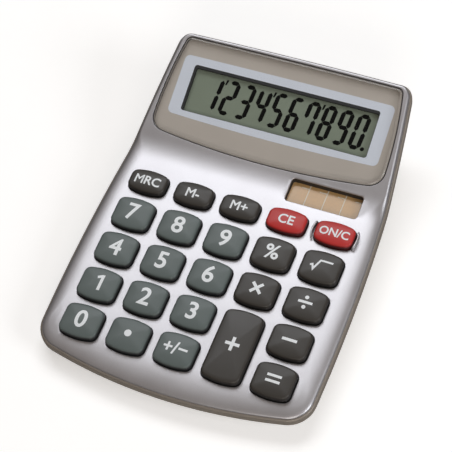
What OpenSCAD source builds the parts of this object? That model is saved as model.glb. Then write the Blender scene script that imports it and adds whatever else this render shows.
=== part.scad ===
// Desk-top pocket calculator with a wedge casing, a tilted display, 24 sprung keys,
// a solar cell and a button-cell backup. Millimetres. The origin is on the table, under
// the middle of the casing. +Y points to the display and +Z points up.

/* [Casing] */
// Width across the widest part of the casing
case_w = 103.8; // [103:0.2:105]
// Length from the front edge to the rear edge
case_l = 134; // [133.6:0.2:136]
// Height of the faceplate above the table, at the 9 key
deck_h = 14.5; // [14.5:0.5:16]
// Tilt of the faceplate towards the user, in degrees
deck_tilt = 4; // [3.5:0.5:4.5]
// Tilt of the display face above the faceplate, in degrees
display_tilt = 17; // [16:0.5:18]
// Wall thickness of the casing
wall = 1.8; // [1.6:0.1:2]

/* [Keys] */
// Distance between key columns
column_pitch = 18; // [17.5:0.25:18]
// Distance between key rows
row_pitch = 15; // [14.75:0.25:15.25]
// Distance from the first digit row to the memory row
memory_pitch = 13.9; // [13.5:0.1:14]
// Width of a key
key_w = 14.4; // [14:0.1:15]
// Depth of a key along its sides
key_d = 10.1; // [9.7:0.1:10.6]
// Depth of a memory key along its sides
memory_key_d = 6.8; // [6.2:0.1:7.2]
// Height of a key above the faceplate
key_rise = 3; // [2.8:0.1:3.4]
// Travel of a key
key_travel = 1.3; // [1:0.1:1.3]

/* [Display] */
// Width of the clear window over the liquid crystal
window_w = 72.7; // [70:0.1:73]
// Depth of that window along the slope
window_d = 18; // [17:0.1:18.5]
// Thickness of the display lens
lens_t = 1.6; // [1.4:0.1:1.6]

/* [Power] */
// Width of the solar cell window
solar_w = 27.2; // [24:0.1:28]
// Depth of the solar cell window
solar_d = 9; // [8:0.1:9]
// Diameter of the button cell
cell_d = 11.6; // [11:0.1:11.6]
// Height of the button cell
cell_h = 3.05; // [2.5:0.05:3.05]

/* [Hidden] */

$fn = 32;
slice_t = 0.02;

// Frames: the deck frame lies in the faceplate with its origin under the 9 key, and the
// slope frame lies in the display face with its origin where that face meets the deck.
front_margin = 60.9;
deck_y = front_margin - case_l / 2;
crease_y = 28.6;
slope_tilt = deck_tilt + display_tilt;

// Casing seen from above: bowed sides, a curved front edge and a nearly straight rear edge
side_bow_r = 700;
widest_y = -30;
front_bow_r = 200;
rear_bow_r = 2500;
front_corner_r = 10;
rear_corner_r = 5;

// Upright band of the base below the seam, which stands out by band_in from the upper housing
band_h = 3;
band_in = 0.8;

// Underside of the base, which tucks in below the band
sole_in = 5.2;
sole_front_in = 3.2;
sole_rear_in = 9;
sole_bow_r = 500;
sole_corner_r = 7;
base_round = 2.5;

// Casing section
foot_h = 0.8;
seam_drop = 1.9;
deck_roll = 6;
front_roll = 11;
slope_roll = 2.5;
display_plate = 3.2;
plate_step_y = 33.2;
plate_gap = 0.3;
cavity_side_in = 5;
cavity_front_in = 4.5;
tall = 60;

// Key layout in the deck frame
key_bow = 1.2;
key_corner_r = 2.5;
key_gap = 0.2;
key_shoulder = 1.1;
key_crown = 0.35;
flange_t = 0.8;
flange_edge = 0.6;
flange_chamfer = 2.2;
flange_slack = 0.05;
plunger_d = 4;
plunger_end = -3.6;
tall_key_d = key_d + row_pitch;

// Board stack below the faceplate
board_top = -6.7;
board_t = 1.2;
board_front_y = -50.4;
board_rear_y = 38;
board_half_w = 42.6;
board_corner_r = 5;
sheet_t = 0.8;
sheet_rear_y = 20.5;
dome_h = 0.8;
dome_root = 0.2;
dome_d = 9;
board_post_d = 3.6;
board_posts = [
    [-27, -2.5 * row_pitch], [9, -1.5 * row_pitch],
    [-27, -0.5 * row_pitch], [27, -0.5 * row_pitch],
    [-38, 34.9], [38, 34.9]
];

// Display stack in the slope frame
window_s = 26.1;
lens_front_s = 4.8;
lens_rear_s = 45.7;
lens_half_w = 45.2;
lens_bow_r = 320;
lens_rear_bow_r = 5000;
lens_front_corner_r = 6;
lens_rear_corner_r = 2.5;
lens_side_r = 150;
lens_widest_s = 14;
lens_proud = 0.4;
lens_edge = 1.1;
lens_gap = 0.1;
film_t = 0.25;
glass_t = 2;
reflector_t = 0.3;
bracket_t = 1.2;
bracket_half_w = 42.9;
lcd_half_w = 39.5;
lcd_front_s = 14.6;
lcd_rear_s = 37.6;
lcd_ledge = 2.9;
lcd_post_d = 3.4;
lcd_posts = [[-41.5, 21], [41.5, 21], [-41.5, 34], [41.5, 34]];
film_top = -display_plate;
glass_top = film_top - film_t;
reflector_top = glass_top - glass_t;
bracket_top = reflector_top - reflector_t;

// Solar cell in the deck frame
solar_at = [27, 27.1];
solar_t = 1.1;
solar_border = 1.3;
solar_contact_x = 12;

// Battery well in the base
battery_at = [-20, 21];
well_wall = 1.5;
well_top = 6.2;
cover_w = 26;
cover_d = 19;
cover_t = 1.2;
cover_gap = 0.2;
cover_screw_x = 10;
floor_top = foot_h + wall;
boss_floor_z = foot_h + 0.5;

// Fasteners
screw_d = 2;
screw_head_d = 3.8;
screw_head_h = 1.4;
small_screw_d = 1.6;
small_head_d = 3.2;
small_head_h = 1.1;
screw_slack = 0.02;
boss_d = 4.4;
boss_reach = 5;
boss_root = 0.8;
low_split = 4.6;
ledge = 2.2;
boss_front_y = deck_y - 1.5 * row_pitch * cos(deck_tilt);
boss_rear_y = deck_y + 40.8;
case_bosses = [[-27, boss_front_y], [27, boss_front_y], [-36, boss_rear_y], [36, boss_rear_y]];
foot_d = 9;
foot_recess = 0.6;
foot_x_front = 37;
foot_y_front = -50;
foot_x_rear = 31;
foot_y_rear = 47;

metallic = "#c5c3cc";
taupe = "#9a9186";
slate = "#5a6260";
charcoal = "#474340";
red = "#c8322f";
steel = "#b9bcc0";

// Height above the table of the faceplate and of the display face, at a distance y
crease_ground_y = deck_y + crease_y * cos(deck_tilt);
crease_ground_z = deck_h + crease_y * sin(deck_tilt);
function deck_z(y) = deck_h + (y - deck_y) * tan(deck_tilt);
function slope_z(y) = crease_ground_z + (y - crease_ground_y) * tan(slope_tilt);
function roof_z(y) = max(deck_z(y) - wall, slope_z(y) - display_plate / cos(slope_tilt));

// Height at which the bosses of the two housings meet: the front ones pass through the board
function split_z(y) = y < 0 ? low_split : roof_z(y) - boss_reach;

module on_deck() {
    translate([0, deck_y, deck_h]) rotate([deck_tilt, 0, 0]) children();
}

module on_slope() {
    on_deck() translate([0, crease_y, 0]) rotate([display_tilt, 0, 0]) children();
}

// Rounds the convex corners of a flat outline
module rounded(r) {
    offset(r = r) offset(delta = -r) children();
}

// Points along a circle of radius r, from one direction up to, but without, another, in n steps
function arc(centre, r, from, to, n) =
    let (a = atan2(from.y, from.x), b = atan2(to.y, to.x))
    [for (i = [0 : n - 1]) centre + r * [cos(a + (b - a) * i / n), sin(a + (b - a) * i / n)]];

// Right-hand point at the distance ra from a and rb from b; turn is 1 or -1
function meeting_point(a, ra, b, rb, turn) =
    let (d = norm(b - a), u = (b - a) / d, t = (ra * ra - rb * rb + d * d) / (2 * d))
    a + t * u + turn * sqrt(ra * ra - t * t) * [-u.y, u.x];

// Right half of an outline with a bowed side and bowed ends, all joined by round corners.
// front and rear are each [y, bow radius, corner radius], and middle_y is where it is widest.
function half_outline(half_w, side_r, middle_y, front, rear) =
    let (
        side_c = [half_w - side_r, middle_y],
        front_c = [0, front[0] + front[1]],
        rear_c = [0, rear[0] - rear[1]],
        front_corner = meeting_point(side_c, side_r - front[2], front_c, front[1] - front[2], -1),
        rear_corner = meeting_point(side_c, side_r - rear[2], rear_c, rear[1] - rear[2], 1)
    )
    concat(
        arc(front_c, front[1], [0, -1], front_corner - front_c, 8),
        arc(front_corner, front[2], front_corner - front_c, front_corner - side_c, 8),
        arc(side_c, side_r, front_corner - side_c, rear_corner - side_c, 14),
        arc(rear_corner, rear[2], rear_corner - side_c, rear_corner - rear_c, 6),
        [[0, rear[0]]]
    );

// Closed outline from its right half
module both_halves(points) {
    mirrored = [for (i = [len(points) - 2 : -1 : 1]) [-points[i].x, points[i].y]];
    polygon(concat(points, mirrored));
}

// Outline of the casing seen from above, shrunk by side_in, and by front_in at the front
module case_plan(side_in = 0, front_in = 0) {
    front = [front_in - case_l / 2, front_bow_r - front_in, max(front_corner_r - side_in, 1)];
    rear = [case_l / 2 - side_in, rear_bow_r - side_in, max(rear_corner_r - side_in, 1)];
    both_halves(half_outline(case_w / 2 - side_in, side_bow_r - side_in, widest_y, front, rear));
}

// Outline of the underside, shrunk by inset
module sole_plan(inset = 0) {
    front = [sole_front_in + inset - case_l / 2, front_bow_r - inset, max(sole_corner_r - inset, 1)];
    rear = [case_l / 2 - sole_rear_in - inset, rear_bow_r - inset, max(sole_corner_r - inset, 1)];
    both_halves(half_outline(case_w / 2 - sole_in - inset, sole_bow_r - inset, widest_y, front, rear));
}

// Slice of the casing's outline, t thick from z above the faceplate, as far back as to_y
module deck_level(z, side, front, to_y = case_l, t = slice_t) {
    intersection() {
        linear_extrude(tall) case_plan(side, front);
        on_deck() translate([-case_w, -case_l, z]) cube([2 * case_w, case_l + to_y, t]);
    }
}

// Slice of the casing's outline, t thick from z above the display face, behind from_s
module slope_level(z, inset, from_s = -2 * slope_roll - seam_drop, t = slice_t) {
    intersection() {
        linear_extrude(tall) case_plan(inset, inset);
        on_slope() translate([-case_w, from_s, z]) cube([2 * case_w, case_l, t]);
    }
}

// Faceplate block with a rolled edge, which is wider at the front
module deck_form() {
    hull() for (a = [0 : 22.5 : 90]) {
        deck_level(
            z = -seam_drop * (1 - sin(a)) - slice_t,
            side = deck_roll * (1 - cos(a)) + band_in,
            front = front_roll * (1 - cos(a)) + band_in
        );
    }
}

// Display block with a tighter rolled edge
module slope_form() {
    hull() for (a = [0 : 22.5 : 90]) {
        slope_level(z = -seam_drop * (1 - sin(a)) - slice_t, inset = slope_roll * (1 - cos(a)) + band_in);
    }
}

// Everything above the seam, which follows the faceplate and then the display face
module above_seam() {
    intersection() {
        on_deck() translate([-case_w, -case_l, -seam_drop]) cube([2 * case_w, 2 * case_l, tall]);
        on_slope() translate([-case_w, -case_l, -seam_drop]) cube([2 * case_w, 2 * case_l, tall]);
    }
}

// Everything in front of the step in the roof's thickness
module before_step() {
    on_deck() translate([-case_w, -case_l, -tall]) cube([2 * case_w, case_l + plate_step_y, 2 * tall]);
}

// Outer form of the base, moved in by inset: a rounded underside that flares out to an
// upright band, which bends at the crease as the faceplate and the display face do
module base_form(inset = 0) {
    band_t = band_h + seam_drop + wall;
    hull() {
        for (a = [0 : 30 : 90]) {
            translate([0, 0, foot_h + inset + base_round * (1 - cos(a))])
                linear_extrude(slice_t) sole_plan(base_round * (1 - sin(a)) + inset);
        }
        deck_level(wall - band_t, inset, inset, to_y = crease_y, t = band_t);
        slope_level(wall - band_t, inset, from_s = 0, t = band_t);
    }
}

// Outline of a key: straight sides, with bowed front and back edges
module key_outline(w, d, grow = 0) {
    bow_r = (w * w / 4 + key_bow * key_bow) / (2 * key_bow);
    offset(r = key_corner_r + grow, $fn = 20) offset(delta = -key_corner_r) intersection() {
        square([w, d + 2 * key_bow], center = true);
        translate([0, bow_r - d / 2 - key_bow]) circle(r = bow_r, $fn = 72);
        translate([0, d / 2 + key_bow - bow_r]) circle(r = bow_r, $fn = 72);
    }
}

// Key cap with its captive flange and the plunger that presses the dome
module key_cap(w, d) {
    full_d = d + 2 * key_bow;
    skirt_bottom = -wall - flange_slack;
    shoulder_z = key_rise - key_shoulder - key_crown;
    shoulder_in = 0.8;
    crown_in = 2.4;
    hull() {
        translate([0, 0, skirt_bottom]) linear_extrude(shoulder_z - skirt_bottom) key_outline(w, d);
        translate([0, 0, key_rise - key_crown]) linear_extrude(slice_t) key_outline(w, d, -shoulder_in);
        translate([0, 0, key_rise - slice_t]) linear_extrude(slice_t) key_outline(w, d, -crown_in);
    }
    translate([0, 0, skirt_bottom - flange_t]) linear_extrude(flange_t) key_flange(w, full_d);
    translate([0, 0, plunger_end]) cylinder(d = plunger_d, h = skirt_bottom - plunger_end);
}

// Flange that keeps a key under the faceplate, with cut corners that clear the board posts
module key_flange(w, full_d) {
    flange_w = w + 2 * (key_gap + flange_edge);
    flange_d = full_d + 2 * (key_gap + flange_edge) - 0.4;
    x = flange_w / 2;
    y = flange_d / 2;
    c = flange_chamfer;
    polygon([
        [x - c, -y], [x, c - y], [x, y - c], [x - c, y],
        [c - x, y], [-x, y - c], [-x, c - y], [c - x, -y]
    ]);
}

// Places a key by its column, from -2 to 2, and its row, counted from the first digit row
module at_key(column, row) {
    y = row < 0 ? memory_pitch : -row * row_pitch;
    on_deck() translate([column * column_pitch, y, 0]) children();
}

module memory_key(column) {
    at_key(column, -1) key_cap(key_w, memory_key_d);
}

module square_key(column, row) {
    at_key(column, row) key_cap(key_w, key_d);
}

// Places its children at every key, with the depth of that key in $key_depth
module for_each_key() {
    for (column = [-2 : 2]) {
        let ($key_depth = memory_key_d) at_key(column, -1) children();
        for (row = [0 : 3]) {
            if (column != 1 || row < 2) let ($key_depth = key_d) at_key(column, row) children();
        }
    }
    let ($key_depth = tall_key_d) at_key(1, 2.5) children();
}

// Outline of the display lens on the slope, with a bowed front edge
module lens_outline(grow = 0) {
    front = [lens_front_s - grow, lens_bow_r + grow, lens_front_corner_r + grow];
    rear = [lens_rear_s + grow, lens_rear_bow_r + grow, lens_rear_corner_r + grow];
    both_halves(half_outline(lens_half_w + grow, lens_side_r + grow, lens_widest_s, front, rear));
}

// Curved rib that guards one end of the ON/C key: side is -1 or 1
module guard_rib(side) {
    rib_r = 9;
    rib_t = 0.7;
    rib_h = 2;
    span = 46;
    at_key(2, -1) translate([side * (key_w / 2 + 0.75 - rib_r), 0, -0.5])
        rotate([0, 0, side > 0 ? -span / 2 : 180 - span / 2])
            rotate_extrude(angle = span, $fn = 96) translate([rib_r, 0]) square([rib_t, rib_h + 0.5]);
}

// Post in the roof that takes a self-tapping screw: z0 is its lower end
module screw_post(d, hole_d, z0, root_z) {
    difference() {
        translate([0, 0, z0]) cylinder(d = d, h = root_z - z0);
        translate([0, 0, z0 - 1]) cylinder(d = hole_d, h = root_z - z0 + 0.6);
    }
}

// Screw that points up, with the underside of its head at z = 0
module screw(d, l, head_d, head_h) {
    difference() {
        union() {
            cylinder(d = d - screw_slack, h = l);
            translate([0, 0, -head_h]) cylinder(d = head_d, h = head_h);
        }
        for (a = [0, 90]) {
            rotate([0, 0, a]) translate([0, 0, -head_h])
                cube([head_d * 0.62, head_d * 0.16, head_h], center = true);
        }
    }
}

// Bent metal or film strip: its path is a list of [y, z] points
module bent_strip(path, width, thickness) {
    rotate([90, 0, 90]) linear_extrude(width, center = true) {
        for (i = [1 : len(path) - 1]) {
            hull() {
                translate(path[i - 1]) circle(d = thickness, $fn = 16);
                translate(path[i]) circle(d = thickness, $fn = 16);
            }
        }
    }
}

module upper_shell() {
    difference() {
        intersection() {
            union() {
                deck_form();
                slope_form();
            }
            above_seam();
        }
        intersection() {
            linear_extrude(tall) case_plan(cavity_side_in, cavity_front_in);
            on_deck() translate([-case_w, -case_l, -tall])
                cube([2 * case_w, case_l + plate_step_y, tall - wall]);
        }
    }
    roof_plate();
}

// Plate under the display lens, which drops inside the walls of the base
module roof_plate() {
    difference() {
        intersection() {
            linear_extrude(tall) case_plan(wall + plate_gap, wall + plate_gap);
            on_slope() translate([-case_w, 0, -display_plate])
                cube([2 * case_w, case_l, display_plate - seam_drop + 0.5]);
        }
        before_step();
    }
}

module upper_housing() {
    color(metallic) difference() {
        union() {
            upper_shell();
            for (p = case_bosses) {
                translate([p.x, p.y, 0])
                    screw_post(boss_d, screw_d, split_z(p.y), roof_z(p.y) + boss_root);
            }
            on_deck() for (p = board_posts) {
                root_z = p.y > plate_step_y ? 0.6 : 0.6 - wall;
                translate(p) screw_post(board_post_d, small_screw_d, board_top, root_z);
            }
            on_slope() for (p = lcd_posts) {
                translate(p) screw_post(lcd_post_d, small_screw_d, bracket_top, 0.6 - display_plate);
            }
            solar_frame();
            for (side = [-1, 1]) guard_rib(side);
        }
        for_each_key() translate([0, 0, -2 * wall])
            linear_extrude(4 * wall) key_outline(key_w, $key_depth, key_gap);
        on_deck() translate([solar_at.x, solar_at.y, -wall - 0.01])
            linear_extrude(tall) rounded(1.2) square([solar_w, solar_d], center = true);
        on_slope() translate([0, 0, -lens_t]) linear_extrude(tall) lens_outline(lens_gap);
        on_slope() translate([0, window_s, -tall / 2])
            linear_extrude(tall) rounded(1) square([window_w, window_d], center = true);
    }
}

// Fence under the faceplate that holds the solar cell
module solar_frame() {
    cell_w = solar_w + 2 * solar_border;
    cell_depth = solar_d + 2 * solar_border;
    on_deck() translate([solar_at.x, solar_at.y, -wall - solar_t]) linear_extrude(solar_t + 0.2) {
        difference() {
            square([cell_w + 1.8, cell_depth + 0.9], center = true);
            square([cell_w + 0.2, cell_depth + 0.2], center = true);
        }
    }
}

module lower_housing() {
    color(taupe) difference() {
        union() {
            difference() {
                base_form();
                above_seam();
                base_form(wall);
            }
            for (p = case_bosses) {
                translate([p.x, p.y, boss_floor_z])
                    cylinder(d = boss_d + 1.6, h = split_z(p.y) - boss_floor_z);
            }
            board_ribs();
            battery_well();
        }
        for (p = case_bosses) translate([p.x, p.y, 0]) {
            cylinder(d = screw_d + 0.3, h = tall);
            cylinder(d = screw_head_d + 0.5, h = split_z(p.y) - ledge);
        }
        for (p = foot_places()) translate([p.x, p.y, 0]) cylinder(d = foot_d, h = foot_h + foot_recess);
        battery_openings();
    }
}

// Ribs on the floor that carry the board
module board_ribs() {
    intersection() {
        on_deck() for (x = [-18, 0, 18]) {
            translate([x - 0.6, -46, -tall]) cube([1.2, 52, tall + board_top - board_t - 0.1]);
        }
        translate([-case_w / 2, -case_l / 2, boss_floor_z]) cube([case_w, case_l, tall]);
    }
}

module battery_well() {
    translate([battery_at.x, battery_at.y, foot_h]) {
        cylinder(d = cell_d + 0.4 + 2 * well_wall, h = well_top - foot_h);
        translate([cover_screw_x, 0, 0]) cylinder(d = boss_d, h = well_top - foot_h);
        translate([0, 0, wall / 2 + 0.6])
            cube([cover_w + 3, cover_d + 3, wall + 1.2], center = true);
    }
}

module battery_openings() {
    translate([battery_at.x, battery_at.y, 0]) {
        linear_extrude(foot_h + cover_t + 0.05) rounded(2)
            square([cover_w + 2 * cover_gap, cover_d + 2 * cover_gap], center = true);
        cylinder(d = cell_d + 0.4, h = tall);
        translate([cover_screw_x, 0, 0]) cylinder(d = screw_d, h = well_top - 0.8);
        translate([-cell_d / 2 - well_wall - 0.3, -1.75, floor_top + 0.4]) cube([well_wall + 1, 3.5, tall]);
    }
}

function foot_places() = [
    [-foot_x_front, foot_y_front], [foot_x_front, foot_y_front],
    [-foot_x_rear, foot_y_rear], [foot_x_rear, foot_y_rear]
];

module display_lens() {
    color([0.62, 0.58, 0.55, 0.5]) on_slope() hull() {
        translate([0, 0, -lens_t]) linear_extrude(lens_t - 0.3) lens_outline();
        translate([0, 0, lens_proud - slice_t]) linear_extrude(slice_t) lens_outline(-lens_edge);
    }
}

module lcd_front_polariser() {
    color("#6f7a69") on_slope() translate([1 - lcd_half_w, lcd_front_s + lcd_ledge - 0.9, film_top - film_t])
        cube([2 * lcd_half_w - 2, lcd_rear_s - lcd_front_s - lcd_ledge + 0.4, film_t]);
}

module lcd_glass() {
    color("#a9b3a6") on_slope() {
        translate([-lcd_half_w, lcd_front_s, glass_top - glass_t / 2])
            cube([2 * lcd_half_w, lcd_rear_s - lcd_front_s, glass_t / 2]);
        translate([-lcd_half_w, lcd_front_s + lcd_ledge, reflector_top])
            cube([2 * lcd_half_w, lcd_rear_s - lcd_front_s - lcd_ledge, glass_t / 2]);
    }
}

module lcd_reflector() {
    front_s = lcd_front_s + lcd_ledge + 0.5;
    color("#8f968c") on_slope() translate([1 - lcd_half_w, front_s, reflector_top - reflector_t])
        cube([2 * lcd_half_w - 2, lcd_rear_s - front_s - 0.5, reflector_t]);
}

module lcd_bracket() {
    bracket_front_s = lcd_front_s + lcd_ledge + 0.6;
    bracket_d = lcd_rear_s - bracket_front_s + 0.6;
    color("#3a3b3d") on_slope() difference() {
        translate([-bracket_half_w, bracket_front_s, bracket_top - bracket_t])
            cube([2 * bracket_half_w, bracket_d, bracket_t]);
        translate([0, bracket_front_s + bracket_d / 2, bracket_top - bracket_t / 2])
            cube([64, bracket_d - 8, 2 * bracket_t], center = true);
        for (p = lcd_posts) {
            translate([p.x, p.y, bracket_top - bracket_t - 1])
                cylinder(d = small_screw_d + 0.2, h = bracket_t + 2);
        }
    }
}

module lcd_bracket_screws() {
    color(steel) on_slope() for (p = lcd_posts) {
        translate([p.x, p.y, bracket_top - bracket_t])
            screw(small_screw_d, bracket_t + 2.3, small_head_d, small_head_h);
    }
}

module lcd_ribbon() {
    foot_z = board_top + 0.15;
    lift = glass_top - glass_t / 2 - 0.15;
    start = [
        crease_y + (lcd_front_s + 2.2) * cos(display_tilt) - lift * sin(display_tilt),
        (lcd_front_s + 2.2) * sin(display_tilt) + lift * cos(display_tilt)
    ];
    bend = start - 2 * [cos(display_tilt), sin(display_tilt)];
    path = [start, bend, bend - [3, 3.2], [board_rear_y - 1, foot_z], [board_rear_y - 4, foot_z]];
    color("#c9a24a") on_deck() bent_strip(path, 58, 0.3);
}

// Flat sheet in the deck frame, from the board's front edge to rear_y, with its screw holes
module board_sheet(z, thickness, rear_y, post_hole_d) {
    difference() {
        on_deck() translate([0, 0, z]) linear_extrude(thickness) rounded(board_corner_r)
            translate([-board_half_w, board_front_y]) square([2 * board_half_w, rear_y - board_front_y]);
        on_deck() for (p = board_posts) {
            translate([p.x, p.y, z - 1]) cylinder(d = post_hole_d, h = thickness + 2);
        }
        for (p = case_bosses) translate([p.x, p.y, 0]) cylinder(d = boss_d + 2.2, h = tall);
    }
}

module main_board() {
    color("#2f6b3f") board_sheet(board_top - board_t, board_t, board_rear_y, small_screw_d + 0.2);
}

module board_screws() {
    color(steel) on_deck() for (p = board_posts) {
        translate([p.x, p.y, board_top - board_t])
            screw(small_screw_d, board_t + 3.5, small_head_d, small_head_h);
    }
}

module dome_sheet() {
    color("#b7b4ad") {
        board_sheet(board_top, sheet_t, sheet_rear_y, board_post_d + 0.6);
        for_each_key() translate([0, 0, board_top + sheet_t - dome_root])
            cylinder(d1 = dome_d, d2 = plunger_d + 1, h = dome_h + dome_root);
    }
}

module controller_chip() {
    color("#1d1d1f") on_deck() translate([-6, 29, board_top]) cylinder(d1 = 10, d2 = 6, h = 1.4);
}

module capacitor() {
    color("#2b3f66") on_deck() translate([-36, 28, board_top + 2]) rotate([0, 90, 0]) cylinder(d = 4, h = 7);
}

module solar_cell() {
    color("#b8976c") on_deck() translate([solar_at.x, solar_at.y, -wall - solar_t / 2])
        cube([solar_w + 2 * solar_border, solar_d + 2 * solar_border, solar_t], center = true);
}

// Conductive rubber block between the solar cell and the board
module solar_contact(side) {
    x = solar_at.x + side * solar_contact_x;
    color("#26272a") on_deck() translate([x - 1.25, solar_at.y - 3, board_top])
        cube([2.5, 6, -wall - solar_t - board_top]);
}

module solar_contact_left() { solar_contact(-1); }
module solar_contact_right() { solar_contact(1); }

module button_cell() {
    color(steel) translate([battery_at.x, battery_at.y, floor_top]) {
        cylinder(d = cell_d, h = cell_h - 0.4);
        translate([0, 0, cell_h - 0.4]) cylinder(d = cell_d - 2, h = 0.4);
    }
}

// Side spring that touches the rim of the cell through the slot in the well
module battery_contact_plus() {
    x = battery_at.x - cell_d / 2 - 0.2;
    color("#c9b16a") {
        translate([x - 0.3, battery_at.y - 1.25, floor_top + 0.6]) cube([0.3, 2.5, 5]);
        translate([x - 3, battery_at.y - 1.25, floor_top + 5.3]) cube([3, 2.5, 0.3]);
    }
}

// Leaf spring that presses on the cap of the cell
module battery_contact_minus() {
    y = battery_at.y;
    z = floor_top + cell_h + 0.2;
    path = [[y - 3, z + 0.6], [y, z], [y + 4, z + 0.9], [y + 7.5, z + 2.2], [y + 11, z + 2.4]];
    color("#c9b16a") translate([battery_at.x, 0, 0]) bent_strip(path, 3.5, 0.3);
}

module battery_cover() {
    color(taupe) translate([battery_at.x, battery_at.y, foot_h]) difference() {
        union() {
            linear_extrude(cover_t) rounded(2) square([cover_w, cover_d], center = true);
            cylinder(d = cell_d - 0.4, h = wall - 0.02);
        }
        translate([cover_screw_x, 0, -1]) cylinder(d = screw_d + 0.3, h = cover_t + 2);
        translate([cover_screw_x, 0, -1]) cylinder(d = screw_head_d + 0.3, h = 1.8);
        for (x = [-10 : 2 : -4]) translate([x - 0.4, -4, -0.01]) cube([0.8, 8, 0.3]);
    }
}

module battery_cover_screw() {
    color(steel) translate([battery_at.x + cover_screw_x, battery_at.y, foot_h + 0.8])
        screw(screw_d, 3.6, screw_head_d, 0.75);
}

module case_screws() {
    color(steel) for (p = case_bosses) {
        translate([p.x, p.y, split_z(p.y) - ledge])
            screw(screw_d, ledge + boss_reach - 0.5, screw_head_d, screw_head_h);
    }
}

module foot(p) {
    color("#2a2a2c") translate([p.x, p.y, 0]) {
        cylinder(d1 = foot_d - 1.2, d2 = foot_d - 0.2, h = foot_h);
        translate([0, 0, foot_h]) cylinder(d = foot_d - 0.2, h = foot_recess);
    }
}

module foot_front_left() { foot(foot_places()[0]); }
module foot_front_right() { foot(foot_places()[1]); }
module foot_rear_left() { foot(foot_places()[2]); }
module foot_rear_right() { foot(foot_places()[3]); }

module key_mrc() { color(charcoal) memory_key(-2); }
module key_m_minus() { color(charcoal) memory_key(-1); }
module key_m_plus() { color(charcoal) memory_key(0); }
module key_ce() { color(red) memory_key(1); }
module key_on_c() { color(red) memory_key(2); }
module key_7() { color(slate) square_key(-2, 0); }
module key_8() { color(slate) square_key(-1, 0); }
module key_9() { color(slate) square_key(0, 0); }
module key_percent() { color(charcoal) square_key(1, 0); }
module key_root() { color(charcoal) square_key(2, 0); }
module key_4() { color(slate) square_key(-2, 1); }
module key_5() { color(slate) square_key(-1, 1); }
module key_6() { color(slate) square_key(0, 1); }
module key_multiply() { color(charcoal) square_key(1, 1); }
module key_divide() { color(charcoal) square_key(2, 1); }
module key_1() { color(slate) square_key(-2, 2); }
module key_2() { color(slate) square_key(-1, 2); }
module key_3() { color(slate) square_key(0, 2); }
module key_plus() { color(charcoal) at_key(1, 2.5) key_cap(key_w, tall_key_d); }
module key_minus() { color(charcoal) square_key(2, 2); }
module key_0() { color(slate) square_key(-2, 3); }
module key_point() { color(slate) square_key(-1, 3); }
module key_sign() { color(slate) square_key(0, 3); }
module key_equals() { color(charcoal) square_key(2, 3); }

upper_housing();
lower_housing();
display_lens();
lcd_front_polariser();
lcd_glass();
lcd_reflector();
lcd_bracket();
lcd_bracket_screws();
lcd_ribbon();
main_board();
board_screws();
dome_sheet();
controller_chip();
capacitor();
solar_cell();
solar_contact_left();
solar_contact_right();
button_cell();
battery_contact_plus();
battery_contact_minus();
battery_cover();
battery_cover_screw();
case_screws();
foot_front_left();
foot_front_right();
foot_rear_left();
foot_rear_right();
key_mrc();
key_m_minus();
key_m_plus();
key_ce();
key_on_c();
key_7();
key_8();
key_9();
key_percent();
key_root();
key_4();
key_5();
key_6();
key_multiply();
key_divide();
key_1();
key_2();
key_3();
key_plus();
key_minus();
key_0();
key_point();
key_sign();
key_equals();
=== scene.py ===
"""Desk-top pocket calculator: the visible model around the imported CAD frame."""

import math

import bmesh
import bpy
from mathutils import Matrix, Vector
from mathutils.bvhtree import BVHTree
from mathutils.geometry import delaunay_2d_cdt


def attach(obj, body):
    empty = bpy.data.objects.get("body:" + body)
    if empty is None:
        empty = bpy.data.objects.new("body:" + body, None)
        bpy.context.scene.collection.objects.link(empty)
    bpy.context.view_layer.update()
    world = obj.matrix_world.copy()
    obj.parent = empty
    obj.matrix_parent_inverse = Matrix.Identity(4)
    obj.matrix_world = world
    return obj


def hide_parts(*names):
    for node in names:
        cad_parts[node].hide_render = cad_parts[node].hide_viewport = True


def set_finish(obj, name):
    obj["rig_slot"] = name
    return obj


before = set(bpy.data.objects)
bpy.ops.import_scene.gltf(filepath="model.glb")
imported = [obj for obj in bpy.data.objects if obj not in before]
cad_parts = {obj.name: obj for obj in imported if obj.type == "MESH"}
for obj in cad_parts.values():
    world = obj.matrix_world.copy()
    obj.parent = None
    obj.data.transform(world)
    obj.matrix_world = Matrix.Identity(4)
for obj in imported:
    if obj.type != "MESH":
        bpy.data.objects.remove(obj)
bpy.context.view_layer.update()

# Sizes in millimetres, mostly the same as in part.scad. The rolls of the display slope, the rear
# edge of the lens and the gap round it are drawn a little differently here.
MM = 0.001
CASE_W = 103.8
CASE_L = 134
DECK_Y = -6.1
DECK_H = 14.5
CREASE_Y = 28.6
DECK_TILT = math.radians(4)
SLOPE_TILT = math.radians(21)
WALL = 1.8
SEAM_DROP = 1.9
BAND_H = 3
BAND_IN = 0.8
DECK_ROLL = 6
FRONT_ROLL = 11
SLOPE_ROLL = 1.5
REAR_ROLL = 1.3
WIDEST_Y = -30
SIDE_BOW_R = 700
FRONT_BOW_R = 200
REAR_BOW_R = 2500
FRONT_CORNER_R = 10
REAR_CORNER_R = 5
SOLE_BOW_R = 500
SOLE_CORNER_R = 7
SOLE_IN = 5.2
SOLE_FRONT_IN = 3.2
SOLE_REAR_IN = 9
BASE_ROUND = 2.5
FOOT_H = 0.8
FLOOR_TOP = FOOT_H + WALL
BASE_GAP = 0.03
FOOT_PLACES = [(-37, -50), (37, -50), (-31, 47), (31, 47)]

COLUMN_PITCH = 18
ROW_PITCH = 15
MEMORY_PITCH = 13.9
KEY_W = 14.4
KEY_D = 10.1
MEMORY_KEY_D = 6.8
KEY_RISE = 3
KEY_BOW = 1.2
KEY_CORNER_R = 2.5
KEY_SIDE_R = 4000
KEY_GAP = 0.2
FLANGE_TOP = 1.87
FLANGE_LOW = 2.65
PLUNGER_END = 3.6

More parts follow.
